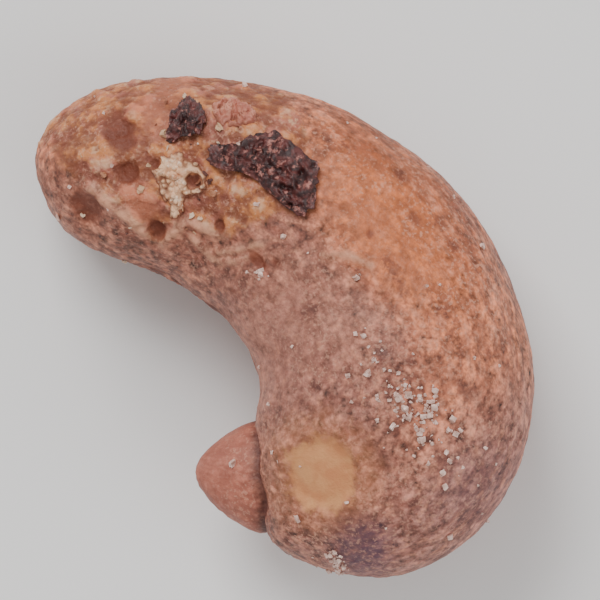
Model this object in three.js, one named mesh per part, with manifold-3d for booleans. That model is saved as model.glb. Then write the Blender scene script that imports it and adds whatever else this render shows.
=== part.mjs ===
// A roasted cashew kernel in its thin skin, lying on its broad side.
//
// Millimetres, +Z up. +X runs along the nut towards its thick lobe, +Y points to the rounded
// back, the notch between the lobes opens towards -Y, and the broad sides face up and down.
// The finished group rests on z = 0 with the origin under the middle of its bounding box.

import * as THREE from "three";
import { mergeVertices } from "three/addons/utils/BufferGeometryUtils.js";
import Module from "manifold-3d";

const { degToRad, lerp, smoothstep } = THREE.MathUtils;

// Bend: the middle line turns round one centre, and its radius tightens over the thick half
const BEND_CENTRE = new THREE.Vector2(1.05, -10.75);
const BEND_RADIUS = 13.0;
const CURL_IN = 3.45;
const THIN_END_ANGLE = degToRad(166.5);
const THICK_END_ANGLE = degToRad(17.8);

// Half widths of the broad side at the thin end, the waist and the thick end
const HALF_WIDTHS = { thin: 4.2, waist: 6.35, thick: 8.45 };

// Each end closes over a share of the middle line; a higher power makes a blunter end
const THIN_CAP = { share: 0.204, power: 2.67 };
const THICK_CAP = { share: 0.379, power: 1.8 };

// Cheek: a low swell of the thick end beside the nib, and the direction it stands out in
const CHEEK = { x: 9.2, y: -8.3, radius: 2.0, out: 0.7, turn: degToRad(234) };

// Section: half thickness against half width, how boxy it is, and the fuller back
const THIN_THICKNESS_RATIO = 0.98;
const THICK_THICKNESS_RATIO = 0.88;
const SECTION_POWER = 2.2;
const FULLER_BACK = 0.1;

// Height of the middle line, so that the underside of both lobes meets the surface
const MIDDLE_HEIGHT = { thin: 4.4, thick: 6.1, rampStart: 0, rampEnd: 0.7 };

// The suture between the two seed halves, a shallow groove along the back and in the notch
const SUTURE = { backDepth: 0.2, notchDepth: 0.32, halfAngle: 0.085 };

// Broad swells of the skin: depth, waves along the nut, waves round it, phase
const SWELLS = [
  { depth: 0.13, along: 9.2, round: 2, phase: 0.7 },
  { depth: 0.09, along: 17, round: 3, phase: 2.9 },
  { depth: 0.055, along: 31, round: -4, phase: 2.1 },
  { depth: 0.035, along: 43, round: 6, phase: 0.4 },
];

// Hollows in the upper side, placed by x and y: the bald patch, then dents of the thin lobe
const HOLLOWS = [
  { x: 7.4, y: -4.7, radiusX: 2.0, radiusY: 1.9, depth: 0.24, rim: 0.35 },
  { x: -12.0, y: -2.5, radiusX: 1.1, radiusY: 0.9, depth: 0.28, rim: 0.9 },
  { x: -10.0, y: -3.8, radiusX: 0.75, radiusY: 0.75, depth: 0.26, rim: 0.9 },
  { x: -6.7, y: -4.3, radiusX: 0.8, radiusY: 0.7, depth: 0.2, rim: 0.9 },
  { x: -9.1, y: -6.6, radiusX: 1.5, radiusY: 1.1, depth: 0.32, rim: 0.9 },
  { x: -2.8, y: -1.1, radiusX: 1.2, radiusY: 0.6, depth: 0.18, rim: 0.9 },
];

// Nib: the seed's small root tip under the skin, standing out of the thick lobe's notch side
const NIB = {
  x: 5.8,
  y: -7.2,
  z: 5.1,
  turn: degToRad(-36),
  halfLength: 2.85,
  reach: 3.17,
  halfHeight: 2.4,
  lean: 0.05,
  pinch: 0.35,
};

// Scraps stuck on the upper side: outline points seen from above, thickness and crumple
const SCRAP_GAP = 0.06;
const SCRAP_RIM = 0.16;
const SCRAPS = [
  {
    name: "dark_flake_large",
    color: 0x4b2c28,
    roughness: 0.45,
    thickness: 0.52,
    crumple: 0.2,
    outline: [
      [-8.55, 0.35], [-7.95, 1.1], [-7.75, 2.2], [-7.1, 3.1], [-5.0, 3.95], [-4.0, 3.3], [-3.0, 2.05],
      [-5.0, 1.35], [-6.3, 0.95], [-7.85, -0.15],
    ],
  },
  {
    name: "dark_flake_small",
    color: 0x50302c,
    roughness: 0.5,
    thickness: 0.42,
    crumple: 0.14,
    outline: [
      [-11.15, 0.4], [-10.7, 0.9], [-9.85, 0.85], [-9.3, 0.3], [-9.6, -0.5], [-9.95, -1.25], [-10.7, -0.6],
    ],
  },
  {
    name: "pale_crumbs",
    color: 0xcfa688,
    roughness: 0.85,
    thickness: 0.45,
    crumple: 0.18,
    outline: [
      [-9.7, -2.4], [-9.5, -1.7], [-9.1, -0.95], [-7.6, -0.7], [-6.95, -1.25], [-7.3, -2.1], [-6.7, -2.7],
      [-6.9, -3.3], [-9.0, -2.9],
    ],
  },
  {
    name: "pink_scrap",
    color: 0xb9806a,
    roughness: 0.7,
    thickness: 0.36,
    crumple: 0.12,
    outline: [[-10.1, 1.4], [-9.95, 2.3], [-8.95, 2.9], [-8.2, 3.0], [-8.35, 2.1], [-9.2, 1.1]],
  },
];

// Mesh counts
const RINGS_ALONG = 72;
const POINTS_ROUND = 60;
const SEAM_CROWDING = 0.3;
const NIB_SEGMENTS = { round: 24, up: 16 };
const SCRAP_SPOKES = 36;
const SCRAP_RINGS = 5;

const wasm = await Module();
wasm.setup();

// Signed power, which turns the circle's cosine and sine into those of a rounded box
function boxy(value) {
  return Math.sign(value) * Math.abs(value) ** (2 / SECTION_POWER);
}

// Share of the full width that an end cap leaves at distance t from its tip
function capShare(t, cap) {
  const inside = THREE.MathUtils.clamp(1 - t / cap.share, 0, 1);
  return (1 - inside ** cap.power) ** (1 / cap.power);
}

// Middle line radius and height and the half width and half thickness, t from 0 to 1
function sectionAt(t) {
  const tightening = Math.max(0, (t - 0.5) / 0.5);
  const bell = HALF_WIDTHS.thin * (1 - t) * (1 - 2 * t)
    + HALF_WIDTHS.waist * 4 * t * (1 - t)
    + HALF_WIDTHS.thick * t * (2 * t - 1);
  const halfWidth = bell * capShare(t, THIN_CAP) * capShare(1 - t, THICK_CAP);
  const rise = smoothstep(t, MIDDLE_HEIGHT.rampStart, MIDDLE_HEIGHT.rampEnd);
  return {
    angle: lerp(THIN_END_ANGLE, THICK_END_ANGLE, t),
    radius: BEND_RADIUS - CURL_IN * tightening ** 2,
    height: lerp(MIDDLE_HEIGHT.thin, MIDDLE_HEIGHT.thick, rise),
    halfWidth,
    halfThickness: halfWidth * lerp(THIN_THICKNESS_RATIO, THICK_THICKNESS_RATIO, t),
  };
}

// Depth of the relief under the plain form at one place on the skin
function reliefDepth(t, round, x, y) {
  let depth = 0;
  for (const swell of SWELLS) {
    depth += swell.depth * Math.sin(swell.along * t + swell.round * round + swell.phase);
  }
  const fromBack = Math.atan2(Math.sin(round), Math.cos(round));
  const fromNotch = Math.PI - Math.abs(fromBack);
  depth += SUTURE.backDepth * Math.exp(-((fromBack / SUTURE.halfAngle) ** 2));
  depth += SUTURE.notchDepth * Math.exp(-((fromNotch / SUTURE.halfAngle) ** 2));
  if (Math.sin(round) > 0) {
    for (const hollow of HOLLOWS) {
      const away = Math.hypot((x - hollow.x) / hollow.radiusX, (y - hollow.y) / hollow.radiusY);
      depth += hollow.depth * (1 - smoothstep(away, 1 - hollow.rim, 1 + 0.2 * hollow.rim));
    }
  }
  return depth * smoothstep(t, 0, 0.07) * smoothstep(1 - t, 0, 0.07);
}

// Point of the skin at t along the nut and the angle round it, 0 at the back, 90 degrees on top
function skinPoint(t, round) {
  const section = sectionAt(t);
  const outX = Math.cos(section.angle);
  const outY = Math.sin(section.angle);
  const out = section.radius + section.halfWidth * boxy(Math.cos(round));
  const fuller = 1 + FULLER_BACK * Math.cos(round);
  const up = section.height + section.halfThickness * boxy(Math.sin(round)) * fuller;
  const plainX = BEND_CENTRE.x + out * outX;
  const plainY = BEND_CENTRE.y + out * outY;
  const fromCheek = Math.hypot(plainX - CHEEK.x, plainY - CHEEK.y) / CHEEK.radius;
  const swollen = CHEEK.out * Math.exp(-(fromCheek ** 2));
  const x = plainX + swollen * Math.cos(CHEEK.turn);
  const y = plainY + swollen * Math.sin(CHEEK.turn);
  const depth = reliefDepth(t, round, x, y);
  return new THREE.Vector3(
    x - depth * Math.cos(round) * outX,
    y - depth * Math.cos(round) * outY,
    Math.max(0, up - depth * Math.sin(round)),
  );
}

// The same place lifted off the skin along its outward normal
function liftedPoint(t, round, lift) {
  const step = 1e-3;
  const along = skinPoint(t + step, round).sub(skinPoint(t - step, round));
  const around = skinPoint(t, round + step).sub(skinPoint(t, round - step));
  const normal = around.cross(along).normalize();
  return skinPoint(t, round).addScaledVector(normal, lift);
}

// Place on the upper skin that lies under the point x, y seen from above
function placeUnder(x, y) {
  const fromCentre = new THREE.Vector2(x, y).sub(BEND_CENTRE);
  const angle = Math.atan2(fromCentre.y, fromCentre.x);
  const t = (THIN_END_ANGLE - angle) / (THIN_END_ANGLE - THICK_END_ANGLE);
  const section = sectionAt(t);
  const across = THREE.MathUtils.clamp((fromCentre.length() - section.radius) / section.halfWidth, -1, 1);
  const cosine = Math.sign(across) * Math.abs(across) ** (SECTION_POWER / 2);
  return { t, round: Math.acos(cosine) };
}

function geometryFrom(positions, indices) {
  const geometry = new THREE.BufferGeometry();
  geometry.setAttribute("position", new THREE.Float32BufferAttribute(positions, 3));
  geometry.setIndex(indices);
  return geometry;
}

// Two triangles between neighbouring rows of points, seen from outside
function pushQuad(indices, a, b, c, d) {
  indices.push(a, b, c, a, c, d);
}

// Kernel: rings of points from the thin tip to the thick tip, closed by one point at each tip
function kernelGeometry() {
  const positions = [...skinPoint(0, 0)];
  for (let ring = 1; ring < RINGS_ALONG; ring += 1) {
    const t = (1 - Math.cos((Math.PI * ring) / RINGS_ALONG)) / 2;
    for (let spot = 0; spot < POINTS_ROUND; spot += 1) {
      const even = (2 * Math.PI * spot) / POINTS_ROUND;
      positions.push(...skinPoint(t, even - (SEAM_CROWDING * Math.sin(2 * even)) / 2));
    }
  }
  positions.push(...skinPoint(1, 0));

  const indices = [];
  const thinTip = 0;
  const thickTip = 1 + (RINGS_ALONG - 1) * POINTS_ROUND;
  const at = (ring, spot) => 1 + (ring - 1) * POINTS_ROUND + (spot % POINTS_ROUND);
  for (let spot = 0; spot < POINTS_ROUND; spot += 1) {
    indices.push(thinTip, at(1, spot + 1), at(1, spot));
    for (let ring = 1; ring < RINGS_ALONG - 1; ring += 1) {
      pushQuad(indices, at(ring, spot), at(ring, spot + 1), at(ring + 1, spot + 1), at(ring + 1, spot));
    }
    indices.push(thickTip, at(RINGS_ALONG - 1, spot), at(RINGS_ALONG - 1, spot + 1));
  }
  return geometryFrom(positions, indices);
}

// Nib: an egg that narrows and leans as it reaches out of the lobe
function nibGeometry() {
  const sphere = new THREE.SphereGeometry(1, NIB_SEGMENTS.round, NIB_SEGMENTS.up);
  sphere.deleteAttribute("normal");
  sphere.deleteAttribute("uv");
  const geometry = mergeVertices(sphere, 1e-5);
  const position = geometry.attributes.position;
  for (let i = 0; i < position.count; i += 1) {
    const along = position.getX(i);
    const out = -position.getY(i);
    const up = position.getZ(i);
    const narrow = 1 - NIB.pinch * Math.max(0, out);
    const leaning = NIB.lean * NIB.reach * out * Math.abs(out);
    const x = NIB.halfLength * along * narrow - leaning;
    position.setXYZ(i, x, -NIB.reach * out, NIB.halfHeight * up * narrow);
  }
  geometry.rotateZ(NIB.turn);
  geometry.translate(NIB.x, NIB.y, NIB.z);
  return geometry;
}

// Scrap: a thin crumpled lid that follows the skin, with an underside just clear of it
function scrapGeometry(scrap) {
  const outline = new THREE.CatmullRomCurve3(
    scrap.outline.map(([x, y]) => new THREE.Vector3(x, y, 0)),
    true,
  );
  const rim = outline.getSpacedPoints(SCRAP_SPOKES).slice(0, SCRAP_SPOKES);
  const centre = new THREE.Vector3();
  rim.forEach((point) => centre.addScaledVector(point, 1 / SCRAP_SPOKES));

  const positions = [];
  const addPoint = (x, y, lift) => {
    const place = placeUnder(x, y);
    positions.push(...liftedPoint(place.t, place.round, lift));
  };
  const topLift = (x, y, share) => {
    const folds = Math.sin(4.3 * x + 2.1 * y) * Math.sin(3.1 * y - 2.2 * x + 0.8);
    const dome = Math.sqrt(1 - share ** 3);
    return SCRAP_GAP + SCRAP_RIM + (scrap.thickness - SCRAP_RIM + scrap.crumple * folds) * dome;
  };
  for (const isTop of [true, false]) {
    addPoint(centre.x, centre.y, isTop ? topLift(centre.x, centre.y, 0) : SCRAP_GAP);
    for (let ring = 1; ring <= SCRAP_RINGS; ring += 1) {
      const share = ring / SCRAP_RINGS;
      for (const point of rim) {
        const x = lerp(centre.x, point.x, share);
        const y = lerp(centre.y, point.y, share);
        addPoint(x, y, isTop ? topLift(x, y, share) : SCRAP_GAP);
      }
    }
  }

  const indices = [];
  const below = 1 + SCRAP_RINGS * SCRAP_SPOKES;
  const at = (ring, spoke) => 1 + (ring - 1) * SCRAP_SPOKES + (spoke % SCRAP_SPOKES);
  const turn = THREE.ShapeUtils.isClockWise(rim) ? 1 : 0;
  for (let spoke = 0; spoke < SCRAP_SPOKES; spoke += 1) {
    const first = spoke + turn;
    const second = spoke + 1 - turn;
    indices.push(0, at(1, first), at(1, second));
    indices.push(below, below + at(1, second), below + at(1, first));
    for (let ring = 1; ring < SCRAP_RINGS; ring += 1) {
      const [a, b, c, d] = [at(ring, first), at(ring + 1, first), at(ring + 1, second), at(ring, second)];
      pushQuad(indices, a, b, c, d);
      pushQuad(indices, below + d, below + c, below + b, below + a);
    }
    const [a, b] = [at(SCRAP_RINGS, first), at(SCRAP_RINGS, second)];
    pushQuad(indices, a, below + a, below + b, b);
  }
  return geometryFrom(positions, indices);
}

// Join closed geometries into one solid
function fuse(...geometries) {
  const solids = geometries.map((geometry) => {
    const vertProperties = Float32Array.from(geometry.attributes.position.array);
    const triVerts = Uint32Array.from(geometry.index.array);
    return new wasm.Manifold(new wasm.Mesh({ numProp: 3, vertProperties, triVerts }));
  });
  const joined = solids.reduce((whole, solid) => whole.add(solid));
  const mesh = joined.getMesh();
  return geometryFrom(Array.from(mesh.vertProperties), Array.from(mesh.triVerts));
}

const cashew = new THREE.Group();

const skin = new THREE.MeshStandardMaterial({ color: 0xaa7a68, roughness: 0.6, metalness: 0 });
const nut = new THREE.Mesh(fuse(kernelGeometry(), nibGeometry()), skin);
nut.name = "cashew_nut";
cashew.add(nut);

for (const scrap of SCRAPS) {
  const { color, roughness } = scrap;
  const material = new THREE.MeshStandardMaterial({ color, roughness, metalness: 0 });
  const mesh = new THREE.Mesh(scrapGeometry(scrap), material);
  mesh.name = scrap.name;
  cashew.add(mesh);
}

const box = new THREE.Box3().setFromObject(cashew);
cashew.position.set(-(box.min.x + box.max.x) / 2, -(box.min.y + box.max.y) / 2, -box.min.z);

export default cashew;
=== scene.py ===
"""Dresses a packed cashew kernel: skin, stuck scraps, salt and crumbs, floor, light and camera."""

import math
from types import SimpleNamespace

import bmesh
import bpy
import numpy as np
from mathutils import Matrix, Vector, noise
from mathutils.bvhtree import BVHTree


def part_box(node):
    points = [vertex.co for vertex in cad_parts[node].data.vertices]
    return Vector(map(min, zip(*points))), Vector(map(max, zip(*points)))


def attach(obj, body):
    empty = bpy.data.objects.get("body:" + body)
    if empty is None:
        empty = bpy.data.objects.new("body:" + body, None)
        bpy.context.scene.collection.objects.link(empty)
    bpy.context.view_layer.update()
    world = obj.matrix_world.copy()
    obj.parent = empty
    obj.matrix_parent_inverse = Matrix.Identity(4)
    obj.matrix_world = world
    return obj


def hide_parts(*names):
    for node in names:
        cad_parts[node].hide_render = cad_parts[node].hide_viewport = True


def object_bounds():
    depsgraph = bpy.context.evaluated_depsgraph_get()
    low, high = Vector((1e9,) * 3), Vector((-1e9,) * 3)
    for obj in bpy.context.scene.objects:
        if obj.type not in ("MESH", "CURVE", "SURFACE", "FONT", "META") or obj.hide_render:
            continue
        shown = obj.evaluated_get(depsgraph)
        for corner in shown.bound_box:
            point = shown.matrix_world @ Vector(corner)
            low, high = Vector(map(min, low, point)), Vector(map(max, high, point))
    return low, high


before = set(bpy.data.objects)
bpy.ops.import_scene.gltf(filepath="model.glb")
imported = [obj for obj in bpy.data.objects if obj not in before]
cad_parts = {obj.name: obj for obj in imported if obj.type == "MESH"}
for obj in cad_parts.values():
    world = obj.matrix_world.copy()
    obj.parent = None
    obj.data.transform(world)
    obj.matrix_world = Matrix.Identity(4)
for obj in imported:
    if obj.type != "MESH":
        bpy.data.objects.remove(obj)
CAD_BOX = [list(corner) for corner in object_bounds()]

bl_info = {
    "name": "Cashew Nut",
    "version": (1, 0, 0),
    "blender": (4, 5, 0),
    "location": "3D View > Sidebar > Cashew",
    "description": "Roasted cashew kernel in its skin with scraps, salt and crumbs stuck to it",
    "category": "Object",
}

MM = 0.001
BODY = "root"

# Broad swells of the skin: depth in millimetres, waves along the nut, waves round it, phase
SWELLS = [(0.13, 9.2, 2, 0.7), (0.09, 17.0, 3, 2.9), (0.055, 31.0, -4, 2.1), (0.035, 43.0, 6, 0.4)]

# Hollows of the upper side, in millimetres: x, y, radius in x, radius in y, depth; and share that is rim
BALD_PATCH = (7.4, -4.7, 2.0, 1.9, 0.24, 0.35)
DENTS = [
    (-12.0, -2.5, 1.1, 0.9, 0.28, 0.9), (-10.0, -3.8, 0.75, 0.75, 0.26, 0.9),
    (-6.7, -4.3, 0.8, 0.7, 0.2, 0.9), (-9.1, -6.6, 1.5, 1.1, 0.32, 0.9), (-2.8, -1.1, 1.2, 0.6, 0.18, 0.9),
]

# Places of the upper side, in millimetres: x, y, radius in x and radius in y
STAIN = (11.4, -5.2, 1.9, 1.7)
FLUSH = (-0.6, 5.2, 5.5, 2.9)
# Soft darker patch over the thick end: painted shade, laid on with the stain colour.
PAINTED_SHADE_THICK_END = (12.6, 1.2, 2.6, 3.2)
BLUSHES = [(-11.5, -1.2, 1.3, 0.8), (-8.5, -4.1, 1.3, 0.8), (-12.2, 0.6, 1.2, 0.9)]
SALTED = (7.2, 0.7, 2.4, 1.1)
SALT_SPOTS = [
    (6.6, 0.3, 0.5, 0.35), (7.8, 1.5, 0.5, 0.35), (0.6, 2.4, 0.3, 0.25), (-2.2, -1.5, 0.25, 0.2),
    (11.4, -6.6, 0.7, 0.35),
]
FLECKED = (10.0, -6.9, 2.0, 1.4)
CRUMBLED = (-8.4, -1.6, 2.6, 2.6)
# The wide pit at -9.8, -6.3 is coloured dark partly as a pit and partly as painted shade where the thin lobe
# turns down to the notch side.
PITS = [
    (-11.7, -2.9, 1.15, 0.85), (-9.9, -3.7, 0.6, 0.6), (-6.8, -4.2, 0.6, 0.5), (-9.8, -6.3, 1.1, 0.8),
    (-7.7, -1.35, 0.38, 0.38), (-9.5, -2.35, 0.28, 0.28), (-5.2, -1.6, 0.4, 0.3), (-2.8, -1.1, 0.7, 0.3),
]
DARK_SPOTS = [
    (8.6, -1.8, 0.75, 0.45), (10.2, 0.5, 0.65, 0.45), (3.8, -2.4, 0.4, 0.35), (4.0, -3.3, 0.35, 0.3),
    (11.2, -2.0, 0.4, 0.4), (9.7, -4.9, 0.6, 0.35), (7.4, -6.7, 0.5, 0.3), (4.4, 1.1, 0.45, 0.35),
    (5.4, 2.0, 0.4, 0.35), (0.1, 6.2, 0.6, 0.3), (1.0, 7.2, 0.6, 0.3), (2.2, 7.0, 0.5, 0.3),
    (-2.0, 6.9, 0.5, 0.35), (8.3, 3.4, 0.7, 0.45),
]

# Crusted part of the thin lobe, its torn lower edge and the small folds beside it, in millimetres
CRUST_OUTLINE = [
    (-15.0, -6.5), (-10.3, -5.6), (-8.7, -5.1), (-7.2, -4.7), (-6.2, -4.2), (-6.3, -2.8), (-4.9, -1.8),
    (-4.1, -0.4), (-3.4, 2.2), (-5.2, 3.9), (-7.0, 4.9), (-9.0, 4.4), (-15.0, 3.0),
]
TORN_EDGE = CRUST_OUTLINE[1:7]
FOLDS = [
    [(-5.6, -3.0), (-4.0, -2.8), (-3.4, -2.0), (-3.1, -1.1)],
    [(-4.2, -2.3), (-3.7, -1.5), (-3.3, -0.5)],
    [(-1.0, 1.6), (-0.5, 2.5), (0.6, 3.2)],
]

# Thickest streak of the pale crumbs, and the rings round the pits in them, in millimetres
PALE_STREAK = [(-9.9, -1.1), (-8.5, -1.9), (-7.0, -2.9)]
PALE_RINGS = [(-7.7, -1.35, 0.6), (-9.5, -2.35, 0.48)]

# Outline points of each stuck scrap, seen from above, in millimetres
SCRAP_OUTLINES = {
    "dark_flake_large": [
        (-8.55, 0.35), (-7.95, 1.1), (-7.75, 2.2), (-7.1, 3.1), (-5.0, 3.95), (-4.0, 3.3), (-3.0, 2.05),
        (-5.0, 1.35), (-6.3, 0.95), (-7.85, -0.15),
    ],
    "dark_flake_small": [
        (-11.15, 0.4), (-10.7, 0.9), (-9.85, 0.85), (-9.3, 0.3), (-9.6, -0.5), (-9.95, -1.25), (-10.7, -0.6),
    ],
    "pale_crumbs": [
        (-9.7, -2.4), (-9.5, -1.7), (-9.1, -0.95), (-7.6, -0.7), (-6.95, -1.25), (-7.3, -2.1), (-6.7, -2.7),
        (-6.9, -3.3), (-9.0, -2.9),
    ],
    "pink_scrap": [(-10.1, 1.4), (-9.95, 2.3), (-8.95, 2.9), (-8.2, 3.0), (-8.35, 2.1), (-9.2, 1.1)],
}


# Further tones of the scraps in patches, specks and hollows, of the bare kernel and of the salt
# On the dark flakes the pinkish speck tone is partly tan skin showing through and partly painted glints, and
# the near-black hollow tone is painted shade in the low folds.
DARK_TONES = [(0.12, 0.026, 0.022), (0.50, 0.20, 0.16), (0.016, 0.004, 0.004)]
PALE_TONES = [(0.56, 0.25, 0.13), (0.92, 0.70, 0.52)]
PINK_TONES = [(0.64, 0.27, 0.18), (0.24, 0.065, 0.040)]
KERNEL_SHADE = (0.56, 0.20, 0.080)
SALT_SHADE = (0.58, 0.36, 0.29)

# Tones of the crumbs, each from a share of them on
CRUMB_TONES = [
    (0.0, (0.30, 0.105, 0.055)), (0.22, (0.60, 0.37, 0.22)), (0.45, (0.42, 0.175, 0.09)),
    (0.66, (0.72, 0.53, 0.38)), (0.86, (0.12, 0.042, 0.032)),
]


# Settings

def length(name, description, default):
    """Length setting, given in millimetres and kept in metres."""
    return bpy.props.FloatProperty(
        name=name, description=description, default=default * MM, unit="LENGTH", precision=5, step=0.01
    )


def share(name, description, default, most=10.0):
    """Plain number setting."""
    return bpy.props.FloatProperty(name=name, description=description, default=default, min=0.0, max=most)


def turn(name, description, degrees):
    """Angle setting."""
    return bpy.props.FloatProperty(
        name=name, description=description, default=math.radians(degrees), subtype="ANGLE"
    )


def count(name, description, default):
    """Whole number setting."""
    return bpy.props.IntProperty(name=name, description=description, default=default, min=0)


def power(name, description, default):
    """Light power setting."""
    return bpy.props.FloatProperty(name=name, description=description, default=default, unit="POWER")


def colour(name, description, default):
    """Colour setting, linear red, green and blue."""
    return bpy.props.FloatVectorProperty(
        name=name, description=description, default=default, subtype="COLOR", size=3, min=0.0, max=1.0
    )


class CashewForm(bpy.types.PropertyGroup):
    bend_x: length("Bend Centre X", "Centre that the middle line turns round", 1.05)
    bend_y: length("Bend Centre Y", "Centre that the middle line turns round", -10.75)
    bend_radius: length("Bend Radius", "Radius of the middle line over the thin half", 13.0)
    curl_in: length("Curl In", "How much nearer the centre the thick end lies", 3.45)
    thin_end: turn("Thin End Angle", "Direction of the thin end from the bend centre", 166.5)
    thick_end: turn("Thick End Angle", "Direction of the thick end from the bend centre", 17.8)
    half_width_thin: length("Thin Half Width", "Half width that the thin end starts from", 4.2)
    half_width_waist: length("Waist Half Width", "Half width halfway along", 6.35)
    half_width_thick: length("Thick Half Width", "Half width that the thick end would reach", 8.45)
    thin_cap_share: share("Thin Cap Share", "Share of the length that the thin end rounds over", 0.204)
    thin_cap_power: share("Thin Cap Power", "Bluntness of the thin end", 2.67)
    thick_cap_share: share("Thick Cap Share", "Share of the length that the thick end rounds over", 0.379)
    thick_cap_power: share("Thick Cap Power", "Bluntness of the thick end", 1.8)
    cheek_x: length("Cheek X", "Middle of the low swell below the nib", 9.2)
    cheek_y: length("Cheek Y", "Middle of the low swell below the nib", -8.3)
    cheek_radius: length("Cheek Radius", "Reach of the swell", 2.0)
    cheek_out: length("Cheek Out", "How far the swell stands out", 0.7)
    cheek_turn: turn("Cheek Turn", "Direction in which the swell stands out", 234)
    thin_ratio: share("Thin Thickness Ratio", "Thickness against width at the thin end", 0.98)
    thick_ratio: share("Thick Thickness Ratio", "Thickness against width at the thick end", 0.88)
    section_power: share("Section Power", "Boxiness of the cross-section, 2 is an ellipse", 2.2)
    fuller_back: share("Fuller Back", "How much thicker the back is than the notch side", 0.1)
    thin_height: length("Thin Height", "Height of the middle line at the thin end", 4.4)
    thick_height: length("Thick Height", "Height of the middle line at the thick end", 6.1)
    level_share: share("Level Share", "Share of the length over which the middle line rises", 0.7)
    suture_back: length("Back Suture Depth", "Depth of the groove along the back", 0.2)
    suture_notch: length("Notch Suture Depth", "Depth of the groove in the notch", 0.32)
    suture_angle: share("Suture Half Angle", "Half width of the groove as an angle round the nut", 0.085)
    rings: count("Rings", "Mesh rings along the nut", 296)
    spots: count("Spots", "Mesh points round each ring", 308)


class CashewNib(bpy.types.PropertyGroup):
    centre_x: length("Centre X", "Middle of the nib", 5.8)
    centre_y: length("Centre Y", "Middle of the nib", -7.2)
    centre_z: length("Centre Z", "Middle of the nib", 5.1)
    turned: turn("Turn", "Direction of the nib's long side", -36.0)
    half_length: length("Half Length", "Half size along the lobe's edge", 2.85)
    reach: length("Reach", "Half size out of the lobe", 3.17)
    half_height: length("Half Height", "Half size upwards", 2.4)
    lean: share("Lean", "How far the tip leans back along the edge", 0.05)
    pinch: share("Pinch", "How much the tip narrows", 0.35)


class CashewRelief(bpy.types.PropertyGroup):
    vein_depth: length("Vein Depth", "Height of the fine veins that run along the skin", 0.05)
    vein_spacing: length("Vein Spacing", "Distance between veins", 0.8)
    pebble_depth: length("Pebble Depth", "Height of the close small bumps", 0.055)
    pebble_size: length("Pebble Size", "Distance between the close small bumps", 0.62)
    pit_depth: length("Pit Depth", "Depth of the small pits", 0.12)
    pit_spacing: length("Pit Spacing", "Distance between pits", 1.7)
    skin_thickness: length("Skin Thickness", "Step down where the skin has come off", 0.08)
    crease_depth: length("Crease Depth", "Depth of the crease between nib and lobe", 0.14)
    crust_height: length("Crust Height", "Height of the lumps on the thin lobe's crusted part", 0.3)
    fold_height: length("Fold Height", "Height of the torn edge and of the small folds", 0.2)
    seed: share("Seed", "Offset that draws another pattern", 3.7, 100.0)


class CashewColours(bpy.types.PropertyGroup):
    ground: colour("Ground", "Middle tone of the skin", (0.33, 0.120, 0.080))
    light: colour("Light", "Light bumps of the skin", (0.56, 0.220, 0.135))
    dark: colour("Dark", "Dark hollows and streaks of the skin", (0.150, 0.042, 0.026))
    # Also darkens the crease between nib and lobe as painted shade.
    freckle_and_crease_shade: colour("Freckle", "Dark purple-brown freckles", (0.085, 0.022, 0.018))
    dust: colour("Dust", "Salt dust on the skin", (0.72, 0.36, 0.25))
    kernel: colour("Kernel", "Bare kernel where the skin is off", (0.68, 0.31, 0.125))
    # Also lays the painted shade over the thick end.
    stain_and_shade: colour("Stain", "Purplish stain", (0.115, 0.050, 0.080))
    flush: colour("Flush", "Orange flush on the back edge", (0.60, 0.162, 0.050))
    # Partly the roasted colour of the back, partly painted shade darkening the back edge.
    russet_and_rim_shade: colour("Russet", "Darker roasted skin along the back", (0.22, 0.046, 0.017))
    warm: colour("Warm", "Tan of the skin towards the back", (0.72, 0.225, 0.100))
    mauve: colour("Mauve", "Greyer skin round the thick end and the notch", (0.455, 0.206, 0.168))
    nib: colour("Nib", "Salmon skin of the nib", (0.47, 0.135, 0.085))
    gold: colour("Gold", "Golden crust of the thin lobe", (0.62, 0.220, 0.068))
    blush: colour("Blush", "Bright pinkish places of the crust", (0.74, 0.235, 0.120))
    scorch: colour("Scorch", "Brown pits of the thin lobe", (0.175, 0.034, 0.011))
    dark_flake: colour("Dark Flake", "Stuck dark scraps", (0.032, 0.008, 0.008))
    pale_crumb: colour("Pale Crumb", "Stuck pale crumbs", (0.82, 0.50, 0.30))
    pink_scrap: colour("Pink Scrap", "Stuck pinkish scrap", (0.48, 0.155, 0.105))
    salt: colour("Salt", "Salt crystals", (0.82, 0.58, 0.50))


class CashewScatter(bpy.types.PropertyGroup):
    salt_size: length("Salt Size", "Usual edge of a salt crystal", 0.16)
    salt_gap: length("Salt Gap", "Least distance between crystals", 0.12)
    salt_per_area: share("Salt Density", "Crystals a square metre where they lie thickest", 30e6, 1e9)
    salt_seed: count("Salt Seed", "Draw of the crystals", 11)
    crumb_size: length("Crumb Size", "Usual size of a crumb", 0.26)
    crumb_gap: length("Crumb Gap", "Least distance between crumbs", 0.4)
    crumb_per_area: share("Crumb Density", "Crumbs a square metre where they lie thickest", 2.8e6, 1e9)
    crumb_seed: count("Crumb Seed", "Draw of the crumbs", 5)


class CashewStage(bpy.types.PropertyGroup):
    elevation: turn("Camera Elevation", "Angle of the camera above the floor", 90.0)
    heading: turn("Camera Heading", "Direction on the floor that is up in the picture", 144.0)
    lens: bpy.props.FloatProperty(name="Lens", description="Focal length", default=600.0, unit="CAMERA")
    fill: share("Frame Fill", "Share of the picture's width that the nut's length takes", 0.98)
    floor: colour("Floor", "Plain pale floor", (0.90, 0.89, 0.88))
    key_power: power("Key Power", "Main light", 2.6)
    fill_power: power("Fill Power", "Fill light", 1.15)
    sky: share("Sky", "Strength of the even light all round", 0.55)


def settings_of(group):
    """A group's own settings."""
    return [item for item in group.bl_rna.properties if item.identifier not in ("name", "rna_type")]


# Form of the nut, in metres in its own frame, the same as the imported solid's

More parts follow.
